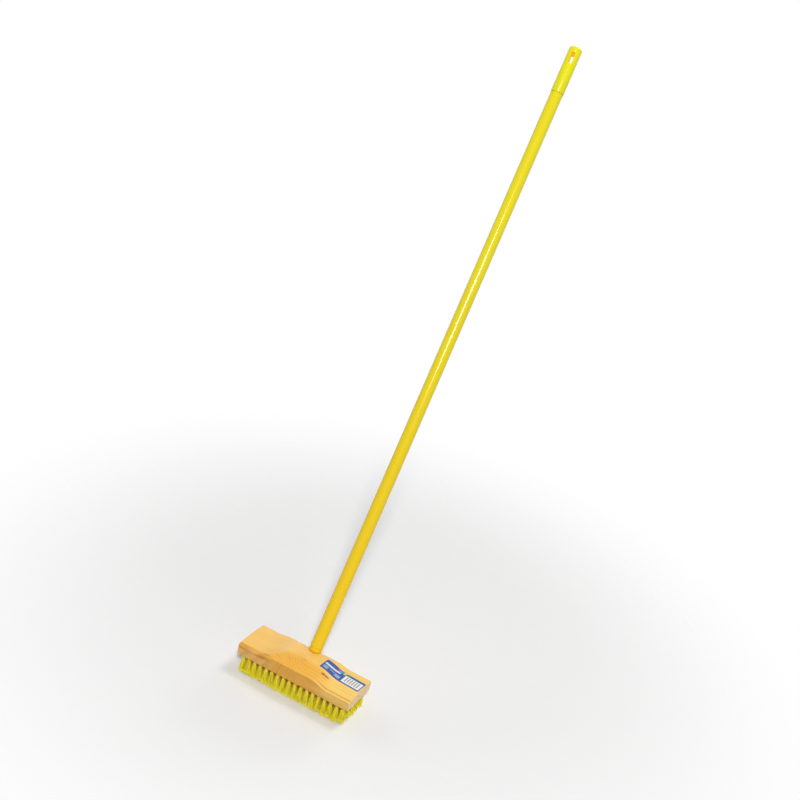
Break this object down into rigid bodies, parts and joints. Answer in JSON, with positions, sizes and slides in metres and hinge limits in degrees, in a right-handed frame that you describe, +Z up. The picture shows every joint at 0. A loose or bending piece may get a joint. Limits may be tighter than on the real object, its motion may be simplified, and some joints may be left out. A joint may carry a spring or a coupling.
{
  "type": "floor brush",
  "caption": "Deck-scrub floor brush: crowned wooden stock with five rows of yellow bristle tufts and a long screw-in tube handle with a hanging cap.",
  "frame": {"origin": "centre of the stock's flat underside; the bristle tips are 37 mm below it", "axes": "+X to the right along the stock, seen from the front; +Y to the back, where the handle leans; +Z up, square to the underside"},
  "size_m": [0.23, 0.6547, 1.1042],
  "materials": {
    "varnished_wood": "clear varnish, pale pine",
    "bristle_plastic": "yellow filaments",
    "tube_paint": "glossy golden yellow coat",
    "moulded_plastic": "smooth yellow moulding",
    "label_film": "printed blue and white sticker"
  },
  "bodies": {
    "head": {"stock": "varnished_wood", "bristle_row_1": "bristle_plastic", "bristle_row_2": "bristle_plastic", "bristle_row_3": "bristle_plastic", "bristle_row_4": "bristle_plastic", "bristle_row_5": "bristle_plastic", "label": "label_film"},
    "fitting": {"threaded_end": "moulded_plastic"},
    "handle": {"handle_tube": "tube_paint", "hanging_cap": "moulded_plastic"}
  },
  "joints": [
    {"name": "thread_slide", "type": "slide", "parent": "head", "child": "fitting", "axis": [0, 0.4848, 0.8746], "range_m": [0, 0.0175]},
    {"name": "handle_turn", "type": "hinge", "parent": "fitting", "child": "handle", "pos_m": [0, 0.03046, 0.02489], "axis": [0, 0.4848, 0.8746], "range_deg": [0, 1270]}
  ],
  "couplings": [
    {"joint": "handle_turn", "follows": "thread_slide", "rad_per_m": 1256.6}
  ]
}
